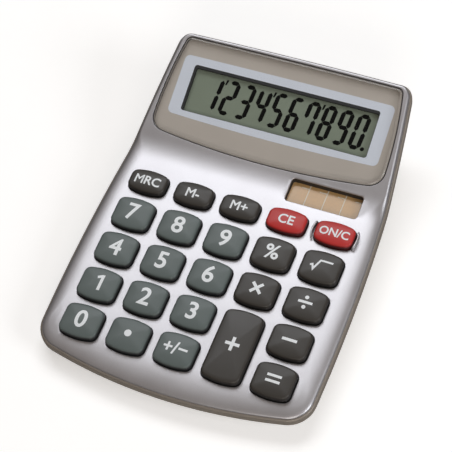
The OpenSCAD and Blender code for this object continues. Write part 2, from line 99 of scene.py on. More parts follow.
LENS_HALF_W = 45.2
LENS_WIDEST_S = 14
LENS_SIDE_R = 150
LENS_FRONT_S = 4.8
LENS_FRONT_BOW_R = 320
LENS_FRONT_CORNER_R = 6
LENS_REAR_S = 44.8
LENS_REAR_BOW_R = 5000
LENS_REAR_CORNER_R = 2.5
PLATE_T = 3.4
BED = 1.75
WINDOW_S = 26.1
WINDOW_W = 72.7
WINDOW_D = 18
FILM_TOP = -3.2
SOLAR_AT = Vector((27, 27.1))
SOLAR_W = 27.2
SOLAR_D = 9
BATTERY_AT = Vector((-20, 21))
WELL_TOP = 6.2
WELL_BLOCK_TOP = 3.8
COVER_SEAT_T = 1.25

DECK = Matrix.Translation((0, DECK_Y, DECK_H)) @ Matrix.Rotation(DECK_TILT, 4, "X")
SLOPE = DECK @ Matrix.Translation((0, CREASE_Y, 0)) @ Matrix.Rotation(SLOPE_TILT - DECK_TILT, 4, "X")
GROUND = Matrix.Identity(4)
CREASE = DECK @ Vector((0, CREASE_Y, 0))
BLEND_HALF = 4.4


# ---------------------------------------------------------------- outlines


def smooth(low, high, value):
    """Runs from 0 at low to 1 at high, level at both ends."""
    t = min(max((value - low) / (high - low), 0), 1)
    return t * t * (3 - 2 * t)


def turns(count, first=0, last=90):
    """Angles from first to last degrees, in radians, in count equal steps."""
    return [math.radians(first + (last - first) * i / count) for i in range(count + 1)]


def arc(centre, radius, start, end, steps):
    """Points on a circle from one direction up to, but without, another."""
    a = math.atan2(start.y, start.x)
    b = math.atan2(end.y, end.x)
    angles = [a + (b - a) * i / steps for i in range(steps)]
    return [centre + radius * Vector((math.cos(t), math.sin(t))) for t in angles]


def meeting_point(a, ra, b, rb, turn):
    """Point at the distance ra from a and rb from b; turn is 1 or -1."""
    d = (b - a).length
    u = (b - a) / d
    t = (ra * ra - rb * rb + d * d) / (2 * d)
    return a + t * u + turn * math.sqrt(ra * ra - t * t) * Vector((-u.y, u.x))


def bowed_outline(half_w, side_r, middle_y, front, rear, steps=(12, 12, 60, 8, 10)):
    """Closed outline with bowed sides and ends; front and rear are (y, bow radius, corner radius)."""
    side_c = Vector((half_w - side_r, middle_y))
    front_c = Vector((0, front[0] + front[1]))
    rear_c = Vector((0, rear[0] - rear[1]))
    front_corner = meeting_point(side_c, side_r - front[2], front_c, front[1] - front[2], -1)
    rear_corner = meeting_point(side_c, side_r - rear[2], rear_c, rear[1] - rear[2], 1)
    half = arc(front_c, front[1], Vector((0, -1)), front_corner - front_c, steps[0])
    half += arc(front_corner, front[2], front_corner - front_c, front_corner - side_c, steps[1])
    half += arc(side_c, side_r, front_corner - side_c, rear_corner - side_c, steps[2])
    half += arc(rear_corner, rear[2], rear_corner - side_c, rear_corner - rear_c, steps[3])
    half += arc(rear_c, rear[1], rear_corner - rear_c, Vector((0, 1)), steps[4])
    half.append(Vector((0, rear[0])))
    return half + [Vector((-p.x, p.y)) for p in half[-2:0:-1]]


def case_outline(side_in, front_in, rear_in):
    """Outline of the casing from above, moved in at the sides, the front and the rear."""
    front = (front_in - CASE_L / 2, FRONT_BOW_R - front_in, max(FRONT_CORNER_R - side_in, 1))
    rear = (CASE_L / 2 - rear_in, REAR_BOW_R - rear_in, max(REAR_CORNER_R - side_in, 1))
    return bowed_outline(CASE_W / 2 - side_in, SIDE_BOW_R - side_in, WIDEST_Y, front, rear)


def sole_outline(inset):
    """Outline of the underside, moved in by inset."""
    corner_r = max(SOLE_CORNER_R - inset, 1)
    front = (SOLE_FRONT_IN + inset - CASE_L / 2, FRONT_BOW_R - inset, corner_r)
    rear = (CASE_L / 2 - SOLE_REAR_IN - inset, REAR_BOW_R - inset, corner_r)
    return bowed_outline(CASE_W / 2 - SOLE_IN - inset, SOLE_BOW_R - inset, WIDEST_Y, front, rear)


def lens_outline(grow):
    """Outline of the display lens on the slope."""
    front = (LENS_FRONT_S - grow, LENS_FRONT_BOW_R + grow, LENS_FRONT_CORNER_R + grow)
    rear = (LENS_REAR_S + grow, LENS_REAR_BOW_R + grow, LENS_REAR_CORNER_R + grow)
    steps = (16, 10, 24, 8, 8)
    return bowed_outline(LENS_HALF_W + grow, LENS_SIDE_R + grow, LENS_WIDEST_S, front, rear, steps)


def key_outline(depth, grow):
    """Outline of a key with bowed front and back edges."""
    bow_r = (KEY_W ** 2 / 4 + KEY_BOW ** 2) / (2 * KEY_BOW)
    end = (depth / 2 + KEY_BOW + grow, bow_r + grow, KEY_CORNER_R + grow)
    front = (-end[0], end[1], end[2])
    return bowed_outline(KEY_W / 2 + grow, KEY_SIDE_R, 0, front, end, (8, 8, 6, 8, 8))


def round_rect(width, depth, radius, centre=(0, 0), steps=6):
    """Rectangle with round corners, anticlockwise."""
    points = []
    for turn, (sx, sy) in enumerate([(1, -1), (1, 1), (-1, 1), (-1, -1)]):
        corner = Vector((sx * (width / 2 - radius), sy * (depth / 2 - radius))) + Vector(centre)
        for a in turns(steps, 90 * turn - 90, 90 * turn):
            points.append(corner + radius * Vector((math.cos(a), math.sin(a))))
    return points


def circle(centre, radius, count=40):
    """Circle as a list of points."""
    angles = [2 * math.pi * i / count for i in range(count)]
    return [Vector(centre) + radius * Vector((math.cos(a), math.sin(a))) for a in angles]


def inside(point, outline):
    """Whether a point lies within an outline."""
    within = False
    previous = outline[-1]
    for p in outline:
        if (p.y > point.y) != (previous.y > point.y):
            if point.x < (previous.x - p.x) * (point.y - p.y) / (previous.y - p.y) + p.x:
                within = not within
        previous = p
    return within


def distance(point, outline):
    """Shortest distance from a point to a closed outline."""
    shortest = math.inf
    previous = outline[-1]
    for p in outline:
        side = p - previous
        share = min(max((point - previous).dot(side) / side.length_squared, 0), 1)
        shortest = min(shortest, (previous + side * share - point).length)
        previous = p
    return shortest


def surface_z(y):
    """Height of the faceplate and of the display face, with the hollow between them."""
    deck = DECK_H + (y - DECK_Y) * math.tan(DECK_TILT)
    along = y - CREASE.y
    climb = math.tan(SLOPE_TILT) - math.tan(DECK_TILT)
    if along > BLEND_HALF:
        return deck + climb * along
    return deck + climb * max(along + BLEND_HALF, 0) ** 2 / (4 * BLEND_HALF)


def levelled(outline, drop=0, matrix=GROUND):
    """Raises a flat outline into a frame, drop below its plane."""
    return [matrix @ Vector((p.x, p.y, -drop)) for p in outline]


def below_surface(outline, drop):
    """Raises an outline seen from above to the drop below the outer surface."""
    return [Vector((p.x, p.y, surface_z(p.y) - drop)) for p in outline]


# ---------------------------------------------------------------- meshes


class Shell:
    """Collects the points, in millimetres, and the faces of a closed mesh."""

    def __init__(self):
        self.points = []
        self.faces = []

    def ring(self, points):
        """Adds points and returns their numbers."""
        first = len(self.points)
        self.points += points
        return list(range(first, len(self.points)))

    def bridge(self, ring_a, ring_b):
        """Joins two rings of equal length."""
        for i in range(len(ring_a)):
            j = (i + 1) % len(ring_a)
            self.faces.append((ring_a[i], ring_a[j], ring_b[j], ring_b[i]))

    def loft(self, rings):
        """Adds rings, joins each to the next and returns the first and the last."""
        numbers = [self.ring(r) for r in rings]
        for a, b in zip(numbers, numbers[1:]):
            self.bridge(a, b)
        return numbers[0], numbers[-1]

    def skin(self, outer, holes=(), extra=()):
        """Fills an outline with triangles, around its holes, as seen from above."""
        loops = [outer, *holes]
        numbers = [i for loop in loops for i in loop] + self.ring(list(extra))
        edges = []
        first = 0
        for loop in loops:
            edges += [(first + i, first + (i + 1) % len(loop)) for i in range(len(loop))]
            first += len(loop)
        flat = [self.points[i].to_2d() for i in numbers]
        found, _, faces, origins, _, _ = delaunay_2d_cdt(flat, edges, [], 0, 1e-7)
        outlines = []
        for loop in loops:
            outline = [self.points[i].to_2d() for i in loop]
            xs = [p.x for p in outline]
            ys = [p.y for p in outline]
            outlines.append((outline, min(xs), max(xs), min(ys), max(ys)))
        for face in faces:
            middle = sum((found[i] for i in face), Vector((0, 0))) / len(face)
            hits = [
                x0 < middle.x < x1 and y0 < middle.y < y1 and inside(middle, outline)
                for outline, x0, x1, y0, y1 in outlines
            ]
            if hits[0] and not any(hits[1:]):
                self.faces.append([numbers[origins[i][0]] for i in face])

    def solid(self, rings):
        """Adds a lofted body with filled ends."""
        first, last = self.loft(rings)
        self.skin(first)
        self.skin(last)

    def prism(self, outline, low, high, matrix=GROUND, bevel=0):
        """Adds a plate between two heights of a frame, with a small bevel on top."""
        rings = [levelled(outline, -low, matrix), levelled(outline, bevel - high, matrix)]
        if bevel:
            middle = sum(outline, Vector((0, 0))) / len(outline)
            inner = [p + (middle - p).normalized() * bevel for p in outline]
            rings.append(levelled(inner, -high, matrix))
        self.solid(rings)


def build(name, shell, material, body="case", slot=None, replaces=(), sharp=38, weighted=False):
    """Makes an object of a shell, which rides on a body and may replace CAD nodes."""
    work = bmesh.new()
    verts = [work.verts.new(p * MM) for p in shell.points]
    for face in shell.faces:
        work.faces.new([verts[i] for i in face])
    bmesh.ops.delete(work, geom=[v for v in work.verts if not v.link_faces], context="VERTS")
    bmesh.ops.recalc_face_normals(work, faces=work.faces)
    mesh = bpy.data.meshes.new(name)
    work.to_mesh(mesh)
    work.free()
    mesh.shade_smooth()
    mesh.set_sharp_from_angle(angle=math.radians(sharp))
    mesh.materials.append(material)
    piece = bpy.data.objects.new(name, mesh)
    bpy.context.scene.collection.objects.link(piece)
    if weighted:
        normals = piece.modifiers.new("normals", "WEIGHTED_NORMAL")
        normals.keep_sharp = True
    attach(piece, body)
    if replaces:
        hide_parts(*replaces)
    if slot:
        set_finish(piece, slot)
    return piece


# ---------------------------------------------------------------- materials


def linear(colour):
    """Turns a hex colour into a linear one."""
    parts = [int(colour[i:i + 2], 16) / 255 for i in (1, 3, 5)]
    return [c / 12.92 if c < 0.04045 else ((c + 0.055) / 1.055) ** 2.4 for c in parts] + [1]


def add_node(tree, kind, *values, **named):
    """Adds a node, and sets or links its inputs, by their order or by their names."""
    node = tree.nodes.new("ShaderNode" + kind)
    sockets = list(zip(node.inputs, values))
    sockets += [(node.inputs[name.replace("_", " ")], value) for name, value in named.items()]
    for socket, value in sockets:
        if isinstance(value, bpy.types.NodeSocket):
            tree.links.new(value, socket)
        else:
            socket.default_value = value
    return node


def finish_material(name, colour, rough=0.5, metallic=0.0, coat=0.0, grain=2500, grain_bump=0.02,
                    mottle=0.05, rough_spread=0.08, alpha=1.0, specular=0.5, stretch=(1, 1, 1)):
    """Material with fine grain in its surface, and slow changes in its colour and gloss."""
    made = bpy.data.materials.new(name)
    made.use_nodes = True
    tree = made.node_tree
    shader = tree.nodes["Principled BSDF"]
    shader.inputs["Metallic"].default_value = metallic
    shader.inputs["Coat Weight"].default_value = coat
    shader.inputs["Coat Roughness"].default_value = 0.08
    shader.inputs["Alpha"].default_value = alpha
    shader.inputs["Specular IOR Level"].default_value = specular
    place = add_node(tree, "TexCoord")
    scaled = add_node(tree, "Mapping", Vector=place.outputs["Object"], Scale=stretch)
    fine = add_node(tree, "TexNoise", Vector=scaled.outputs["Vector"], Scale=grain, Detail=3)
    slow = add_node(tree, "TexNoise", Vector=scaled.outputs["Vector"], Scale=90, Detail=4)

    half = add_node(tree, "Math", slow.outputs["Fac"], 0.5)
    half.operation = "MULTIPLY"
    both = add_node(tree, "Math", fine.outputs["Fac"], 0.5, half.outputs[0])
    both.operation = "MULTIPLY_ADD"
    ramp = add_node(tree, "ValToRGB", both.outputs[0])
    base = linear(colour)
    ramp.color_ramp.elements[0].position = 0.3
    ramp.color_ramp.elements[0].color = [c * (1 - mottle) for c in base[:3]] + [1]
    ramp.color_ramp.elements[1].position = 0.7
    ramp.color_ramp.elements[1].color = [min(c * (1 + mottle), 1) for c in base[:3]] + [1]
    tree.links.new(ramp.outputs["Color"], shader.inputs["Base Color"])

    least = max(rough - rough_spread, 0.02)
    most = min(rough + rough_spread, 1)
    spread = add_node(tree, "MapRange", Value=slow.outputs["Fac"], To_Min=least, To_Max=most)
    tree.links.new(spread.outputs["Result"], shader.inputs["Roughness"])
    strength = min(grain_bump * 10, 1)
    bump = add_node(tree, "Bump", Strength=strength, Distance=grain_bump * MM, Height=fine.outputs["Fac"])
    tree.links.new(bump.outputs["Normal"], shader.inputs["Normal"])
    return made


def paint_shade_on_skirt(made, colour, dark, low, high):
    """Darkens a key's material from one height above the faceplate down to another, as painted shade on the
    key's lower walls.
    """
    tree = made.node_tree
    shader = tree.nodes["Principled BSDF"]
    source = shader.inputs["Base Color"].links[0].from_socket
    up = DECK.to_3x3() @ Vector((0, 0, 1))
    place = add_node(tree, "TexCoord")
    height = add_node(tree, "VectorMath", place.outputs["Object"], up)
    height.operation = "DOT_PRODUCT"
    level = up.dot(DECK.translation)
    least = (level + low) * MM
    most = (level + high) * MM
    fade = add_node(tree, "MapRange", Value=height.outputs["Value"], From_Min=least, From_Max=most)
    fade.interpolation_type = "SMOOTHSTEP"
    mix = tree.nodes.new("ShaderNodeMix")
    mix.data_type = "RGBA"
    mix.inputs["A"].default_value = linear(dark)
    tree.links.new(fade.outputs["Result"], mix.inputs["Factor"])
    tree.links.new(source, mix.inputs["B"])
    tree.links.new(mix.outputs["Result"], shader.inputs["Base Color"])
    return made


def key_material(name, colour, dark):
    """Satin key plastic, with painted shade darkening its lower walls."""
    made = finish_material(name, colour, rough=0.45, coat=0.05, grain=3500, grain_bump=0.012, mottle=0.05)
    return paint_shade_on_skirt(made, colour, dark, 1.2, 2.4)


silver = finish_material("faceplate_paint", "#cac8cb", rough=0.42, metallic=0.8, grain=2800,
                         grain_bump=0.016, mottle=0.05, rough_spread=0.04)
taupe = finish_material("base_paint", "#958c82", rough=0.42, metallic=0.35, grain=4200, grain_bump=0.014)
clear = finish_material("lens_clear", "#3a3733", rough=0.06, grain=300, grain_bump=0.001, mottle=0.03,
                        rough_spread=0.02, alpha=0.035)
# Rounded edge of the lens: its gloss and coat are real, its light, half-opaque colour is a painted highlight
# of the bright line along the thick edge.
rim_painted_highlight = finish_material("lens_rim_gloss_and_painted_highlight", "#b5ada4", rough=0.16, coat=0.5, grain=300, grain_bump=0.001,
                        mottle=0.03, rough_spread=0.02, alpha=0.55, specular=0.8)
# Print under the lens border: a silver back print, painted in the taupe of its reflection of the dim
# surround.
border_ink_painted_reflection = finish_material("lens_border_ink_painted_reflection", "#c6beb4", rough=0.55, grain=2600, mottle=0.04)
frame_ink = finish_material("display_frame_ink", "#e6edf8", rough=0.5, grain=2600, mottle=0.03)
lcd_green = finish_material("lcd_green", "#8a9584", rough=0.35, grain=1800, mottle=0.03)
lcd_dark = finish_material("lcd_segment", "#020303", rough=0.6, grain=1800, mottle=0.1, specular=0.1)
# Tan of the solar strips: the cells' brown, lightened with a painted reflection of the lamps.
solar_brown_and_painted_reflection = finish_material("solar_brown_and_painted_reflection", "#c49c68", rough=0.33, grain=900, mottle=0.08, coat=0.3)
solar_cream = finish_material("solar_cream", "#ddd3bf", rough=0.45, grain=2000, mottle=0.05)
# Key materials: the keys' own plastic colours, with painted shade on their lower walls.
digit_plastic_and_painted_shade = key_material("digit_plastic_and_painted_shade", "#616b69", "#15181a")
function_plastic_and_painted_shade = key_material("function_plastic_and_painted_shade", "#3c3833", "#12100f")
red_plastic_and_painted_shade = key_material("red_plastic_and_painted_shade", "#c8322f", "#4a0f10")
legend_ink = finish_material("legend_ink", "#f6fafd", rough=0.4, grain=3000, mottle=0.03)
rubber = finish_material("foot_rubber_skin", "#232325", rough=0.8, grain=2000, grain_bump=0.05, mottle=0.15)
steel = finish_material("bright_steel", "#b9bcc0", rough=0.26, metallic=1, grain=900, mottle=0.06,
                        rough_spread=0.12, stretch=(1, 1, 12))
spring = finish_material("spring_brass", "#c9b16a", rough=0.3, metallic=1, grain=900, mottle=0.08)
# Black of the real black mouldings, also used as painted shade on walls and in gaps.
black = finish_material("black_moulding_and_painted_shade", "#2b2c2e", rough=0.5, grain=2400, grain_bump=0.03, mottle=0.1)
glass = finish_material("lcd_glass_tint", "#a9b3a6", rough=0.08, coat=0.5, grain=500, mottle=0.03)
foil = finish_material("reflector_foil", "#8f968c", rough=0.35, metallic=0.6, grain=1500, mottle=0.06)
gold_film = finish_material("ribbon_film", "#c9a24a", rough=0.4, metallic=0.3, grain=300, mottle=0.12,
                            stretch=(40, 1, 1))
board = finish_material("board_lacquer", "#2f6b3f", rough=0.4, coat=0.4, grain=700, mottle=0.2)
dome_rubber = finish_material("dome_silicone", "#b7b4ad", rough=0.6, grain=1800, grain_bump=0.03, mottle=0.06)
blob = finish_material("epoxy_blob", "#1d1d1f", rough=0.25, coat=0.5, grain=600, mottle=0.15)
sleeve = finish_material("capacitor_sleeve", "#2b3f66", rough=0.35, coat=0.3, grain=900, mottle=0.08)
contact = finish_material("contact_carbon", "#26272a", rough=0.7, grain=1800, grain_bump=0.04, mottle=0.12)


# ---------------------------------------------------------------- casing

FRONT_BOSS_Y = DECK_Y - 1.5 * ROW_PITCH * math.cos(DECK_TILT)
REAR_BOSS_Y = DECK_Y + 40.8
FRONT_SPLIT = 4.6
REAR_SPLIT = surface_z(REAR_BOSS_Y) - PLATE_T / math.cos(SLOPE_TILT) - 5
CASE_BOSSES = [
    (-27, FRONT_BOSS_Y, FRONT_SPLIT), (27, FRONT_BOSS_Y, FRONT_SPLIT),
    (-36, REAR_BOSS_Y, REAR_SPLIT), (36, REAR_BOSS_Y, REAR_SPLIT),
]
BOARD_POSTS = [(-27, -37.5), (9, -22.5), (-27, -7.5), (27, -7.5), (-38, 34.9), (38, 34.9)]
BOARD_TOP = 6.7
LCD_POSTS = [(-41.5, 21), (-41.5, 34), (41.5, 21), (41.5, 34)]
LCD_POST_END = 5.75

KEYS = {
    "mrc": (-2, -1, "MRC"), "m_minus": (-1, -1, "M-"), "m_plus": (0, -1, "M+"),
    "ce": (1, -1, "CE"), "on_c": (2, -1, "ON/C"),
    "7": (-2, 0, "7"), "8": (-1, 0, "8"), "9": (0, 0, "9"), "percent": (1, 0, "%"), "root": (2, 0, None),
    "4": (-2, 1, "4"), "5": (-1, 1, "5"), "6": (0, 1, "6"), "multiply": (1, 1, None), "divide": (2, 1, None),
    "1": (-2, 2, None), "2": (-1, 2, "2"), "3": (0, 2, "3"), "plus": (1, 2.5, None), "minus": (2, 2, None),
    "0": (-2, 3, "0"), "point": (-1, 3, None), "sign": (0, 3, "+/−"), "equals": (2, 3, None),
}


def key_centre(column, row):
    """Middle of a key in the deck frame."""
    return Vector((column * COLUMN_PITCH, MEMORY_PITCH if row < 0 else -row * ROW_PITCH))


def key_depth(name, row):
    """Depth of a key along its sides."""
    if row < 0:
        return MEMORY_KEY_D
    return KEY_D + ROW_PITCH if name == "plus" else KEY_D


def moved(outline, offset):
    """Shifts a flat outline."""
    return [p + offset for p in outline]


def rolled_plan(angle):
    """Outline of the rolled edge from above, from the seam at 0 degrees to the top at 90 degrees."""
    share = 1 - math.cos(angle)
    side = BAND_IN + DECK_ROLL * share
    deck = case_outline(side, BAND_IN + FRONT_ROLL * share, BAND_IN + REAR_ROLL * share)
    slope_in = BAND_IN + SLOPE_ROLL * share
    slope = case_outline(slope_in, slope_in, BAND_IN + REAR_ROLL * share)
    ring = []
    for a, b in zip(deck, slope):
        weight = smooth(CREASE.y - 7, CREASE.y + 7, (a.y + b.y) / 2)
        ring.append(a.lerp(b, weight))
    return ring


# The front keys reach into the rolled edge, so there its inner part belongs to the faceplate's skin
SKIN_ANGLE = 48
SKIN_PLANS = [(angle, rolled_plan(angle)) for angle in turns(7, SKIN_ANGLE, 90)]


def skin_angle(y):
    """Angle at which the rolled edge gives way to the faceplate's skin."""
    return math.radians(SKIN_ANGLE + (90 - SKIN_ANGLE) * smooth(-58, -44, y))


def edge_ring(share):
    """Ring of the rolled edge, from the seam at 0 to the edge of the faceplate's skin at 1."""
    plans = [rolled_plan(angle) for angle in turns(45)]
    ring = []
    for i, seam_point in enumerate(plans[0]):
        angle = share * skin_angle(seam_point.y)
        step = min(int(angle / math.radians(2)), 44)
        part = angle / math.radians(2) - step
        p = plans[step][i].lerp(plans[step + 1][i], part)
        ring.append(Vector((p.x, p.y, surface_z(p.y) - SEAM_DROP * (1 - math.sin(angle)))))
    return ring


def roll_drop(point):
    """Drop of the rolled edge at a point seen from above."""
    for (outer_angle, outer), (inner_angle, inner) in zip(SKIN_PLANS, SKIN_PLANS[1:]):
        if not inside(point, inner):
            to_outer = distance(point, outer)
            share = to_outer / (to_outer + distance(point, inner))
            return SEAM_DROP * (1 - math.sin(outer_angle + (inner_angle - outer_angle) * share))
    return 0


def plate_depth(y):
    """Depth of the underside of the faceplate and of the display plate."""
    thick = PLATE_T / math.cos(SLOPE_TILT)
    return WALL + (thick - WALL) * smooth(CREASE.y + 3.8, CREASE.y + 4.4, y)


def hole_rings(outline_at, matrix, lip, depth, lift=lambda p: 0):
    """Rings of a hole with a rounded lip, from its top edge down to its lower edge."""
    rings = []
    for a in turns(4):
        grow = lip * (1 - math.sin(a))
        drop = lip * (1 - math.cos(a))
        rings.append([matrix @ Vector((p.x, p.y, lift(p) - drop)) for p in outline_at(grow)])
    rings.append(levelled(outline_at(0), depth, matrix))
    return rings


def deck_lift(p):
    """Height of the outer surface above the faceplate's plane, at a point of the deck frame."""
    plan = DECK @ Vector((p.x, p.y, 0))
    return (surface_z(plan.y) - plan.z) / math.cos(DECK_TILT) - roll_drop(plan.to_2d())


def add_tube(shell, centre, outer_r, inner_r, low, high, matrix=GROUND):
    """Adds a post with a blind hole in its lower end."""
    outer = circle(centre, outer_r, 28)
    inner = circle(centre, inner_r, 28)
    rings = [
        levelled(outer, -high, matrix), levelled(outer, -low, matrix),
        levelled(inner, -low, matrix), levelled(inner, 0.6 - high, matrix),
    ]
    shell.solid(rings)


def paint_shade_on_walls(piece, matrix, outline, low, high):
    """Gives the second material to the walls of an opening, between two depths below a plane; the black there
    is painted shade.
    """
    to_plane = matrix.inverted()
    for face in piece.data.polygons:
        at = to_plane @ (face.center / MM)
        if -low < at.z < -high and inside(at.to_2d(), outline):
            face.material_index = 1


def make_upper_housing():
    """Faceplate and display surround in one moulding, with its holes and its screw posts."""
    shell = Shell()
    seam, top_edge = shell.loft([edge_ring(i / 10) for i in range(11)])
    plate = case_outline(WALL + 0.3, WALL + 0.3, WALL + 0.3)
    under = shell.ring(below_surface(plate, SEAM_DROP))
    depths = [max(plate_depth(p.y), SEAM_DROP + 0.05) for p in plate]
    lower = shell.ring([Vector((p.x, p.y, surface_z(p.y) - d)) for p, d in zip(plate, depths)])
    shell.bridge(seam, under)
    shell.bridge(under, lower)

    tops = []
    bottoms = []
    for name, (column, row, _) in KEYS.items():
        centre = key_centre(column, row)
        depth = key_depth(name, row)

        def key_hole(grow):
            return moved(key_outline(depth, KEY_GAP + grow), centre)

        first, last = shell.loft(hole_rings(key_hole, DECK, 0.3, WALL, deck_lift))
        tops.append(first)
        bottoms.append(last)

    def solar_hole(grow):
        return round_rect(SOLAR_W + 2 * grow, SOLAR_D + 2 * grow, 1.2 + grow, SOLAR_AT)

    first, last = shell.loft(hole_rings(solar_hole, DECK, 0.35, WALL, deck_lift))
    tops.append(first)
    bottoms.append(last)
    lens_top, bed_outer = shell.loft(hole_rings(lambda grow: lens_outline(0.16 + grow), SLOPE, 0.16, BED))
    tops.append(lens_top)
    window = round_rect(WINDOW_W, WINDOW_D, 1, (0, WINDOW_S))
    bed_inner, window_low = shell.loft([levelled(window, BED, SLOPE), levelled(window, PLATE_T, SLOPE)])
    shell.skin(bed_outer, [bed_inner])
    bottoms.append(window_low)

    hollow = []
    for i in range(-7, 8):
        y = CREASE.y + i * 0.7
        hollow += [Vector((x * 2.4, y, surface_z(y))) for x in range(-19, 20)]
    edge_points = []
    for angle, plan in SKIN_PLANS[1:]:
        front = [p for p in plan if p.y < -44 and angle > skin_angle(p.y) + 0.08]
        edge_points += below_surface(front, SEAM_DROP * (1 - math.sin(angle)))
    shell.skin(top_edge, tops, hollow + edge_points)
    shell.skin(lower, bottoms, [p - Vector((0, 0, plate_depth(p.y))) for p in hollow])

    for x, y, split in CASE_BOSSES:
        add_tube(shell, (x, y), 2.2, 1, split, surface_z(y) - plate_depth(y) + 0.5)
    for x, y in BOARD_POSTS:
        add_tube(shell, (x, y), 1.8, 0.8, -BOARD_TOP, -1.4 if y < CREASE_Y else -0.2, DECK)
    for place in LCD_POSTS:
        add_tube(shell, place, 1.7, 0.8, -LCD_POST_END, -3, SLOPE)
    piece = build("upper_casing", shell, silver, slot="faceplate", replaces=["upper_housing"], sharp=42,
                  weighted=True)
    # The walls of the lens recess and of the solar window get black painted shade, for the shadow that falls
    # into these hollows.
    piece.data.materials.append(black)
    paint_shade_on_walls(piece, SLOPE, lens_outline(0.1), BED - 0.05, 0.2)
    paint_shade_on_walls(piece, DECK, round_rect(SOLAR_W + 0.4, SOLAR_D + 0.4, 0.5, SOLAR_AT), WALL + 0.05, 0.3)
    return piece


def make_lower_housing():
    """Base with its upright band, tapering sides, round sole, screw wells and battery well."""
    shell = Shell()
    band_top = SEAM_DROP + BASE_GAP
    band_bottom = SEAM_DROP + BAND_H
    knee_r = 0.5
    rings = []
    for a in turns(5):
        inset = BAND_IN * (1 - math.sin(a))
        ledge = case_outline(inset, inset, inset)
        rings.append(below_surface(ledge, band_top + BAND_IN * (1 - math.cos(a))))
    band = case_outline(0, 0, 0)
    rings.append(below_surface(band, SEAM_DROP + BAND_H * 0.65))
    for a in turns(4):
        inset = knee_r * (1 - math.cos(a))
        outline = case_outline(inset, inset, inset)
        rings.append(below_surface(outline, band_bottom - knee_r + knee_r * math.sin(a)))
    knee = rings[-1]
    foot = levelled(sole_outline(0), -FOOT_H - BASE_ROUND)
    for share in (0.25, 0.5, 0.75):
        rings.append([a.lerp(b, share) for a, b in zip(knee, foot)])
    for a in turns(6):
        outline = sole_outline(BASE_ROUND * (1 - math.cos(a)))
        rings.append(levelled(outline, -FOOT_H - BASE_ROUND * (1 - math.sin(a))))
    rim, sole = shell.loft(rings)

    inner_band = case_outline(WALL, WALL, WALL)
    inner_rings = [
        below_surface(inner_band, band_top),
        below_surface(inner_band, band_bottom + 0.3),
        levelled(sole_outline(WALL), -FOOT_H - BASE_ROUND - 0.5),
        levelled(sole_outline(WALL + 1.2), -FLOOR_TOP),
    ]
    inner_rim, floor = shell.loft(inner_rings)
    shell.bridge(rim, inner_rim)

    under_holes = []
    floor_holes = []
    for x, y, split in CASE_BOSSES:
        wide = circle((x, y), 2.15)
        narrow = circle((x, y), 1.15)
        outer = circle((x, y), 3)
        head_seat = split - 2.2
        first, last = shell.loft([
            levelled(wide, -FOOT_H), levelled(wide, -head_seat), levelled(narrow, -head_seat),
            levelled(narrow, -split), levelled(outer, -split), levelled(outer, -FLOOR_TOP),
        ])
        under_holes.append(first)
        floor_holes.append(last)
    for place in FOOT_PLACES:
        recess = circle(place, 4.6)
        first, last = shell.loft([levelled(recess, -FOOT_H), levelled(recess, -FOOT_H - 0.6)])
        under_holes.append(first)
        shell.skin(last)

    seat_z = FOOT_H + COVER_SEAT_T
    seat = round_rect(26.4, 19.4, 2, BATTERY_AT)
    first, seat_top = shell.loft([levelled(seat, -FOOT_H), levelled(seat, -seat_z)])
    under_holes.append(first)
    bore = circle(BATTERY_AT, 6, 56)
    wall_outer = circle(BATTERY_AT, 7.5, 56)
    well_low, well_top = shell.loft([
        levelled(bore, -seat_z), levelled(bore, -WELL_TOP),
        levelled(wall_outer, -WELL_TOP), levelled(wall_outer, -WELL_BLOCK_TOP),
    ])
    screw_at = BATTERY_AT + Vector((10, 0))
    screw_hole = circle(screw_at, 1, 24)
    screw_low, screw_top = shell.loft([levelled(screw_hole, -seat_z), levelled(screw_hole, -5.4)])
    shell.skin(screw_top)
    post = circle(screw_at, 2.2, 24)
    post_low, post_top = shell.loft([levelled(post, -WELL_BLOCK_TOP), levelled(post, -WELL_TOP)])
    shell.skin(post_top)
    shell.skin(seat_top, [well_low, screw_low])
    block = round_rect(29, 22, 2.4, BATTERY_AT)
    block_low, block_top = shell.loft([levelled(block, -FLOOR_TOP), levelled(block, -WELL_BLOCK_TOP)])
    shell.skin(block_top, [well_top, post_low])
    floor_holes.append(block_low)

    shell.skin(sole, under_holes)
    shell.skin(floor, floor_holes)
    return build("base_casing", shell, taupe, slot="base", replaces=["lower_housing"], sharp=50,
                 weighted=True)


make_upper_housing()
make_lower_housing()


def make_guard_rib(name, side):
    """Curved rib beside the ON/C key, with a rounded top and tapering ends."""
    rib_r = 9
    half_t = 0.35
    root = -0.6
    span = 46
    count = 24
    shell = Shell()
    centre = key_centre(2, -1) + Vector((side * (KEY_W / 2 + 0.75 - rib_r), 0))
    rings = []
    for i in range(count + 1):
        share = i / count
        angle = math.radians(-span / 2 + span * share) + (0 if side > 0 else math.pi)
        height = 2 * math.sqrt(max(1 - abs(2 * share - 1) ** 8, 0.02))
        profile = [(0, root)]
        for a in turns(8, 0, 180):
            profile.append((half_t - half_t * math.cos(a), height - half_t + half_t * math.sin(a)))
        profile.append((2 * half_t, root))
        across = Vector((math.cos(angle), math.sin(angle)))
        ring = []
        for offset, z in profile:
            p = centre + across * (rib_r + offset)
            ring.append(DECK @ Vector((p.x, p.y, z)))
        rings.append(ring)
    first, last = shell.loft(rings)
    shell.faces.append(first)
    shell.faces.append(last)
    return build(name, shell, silver, slot="faceplate", sharp=50)


make_guard_rib("guard_rib_left", -1)
make_guard_rib("guard_rib_right", 1)


# ---------------------------------------------------------------- display


LENS_GAP = 0.22
LENS_T = 1.6
LENS_PROUD = 0.4
LENS_ROUND_LOW = 0.3
LENS_ROUND_IN = 1.2
RIM_TOP = 1.66
PRINT_T = 0.04
BORDER_TOP = 1.7
FRAME_TOP = 1.65


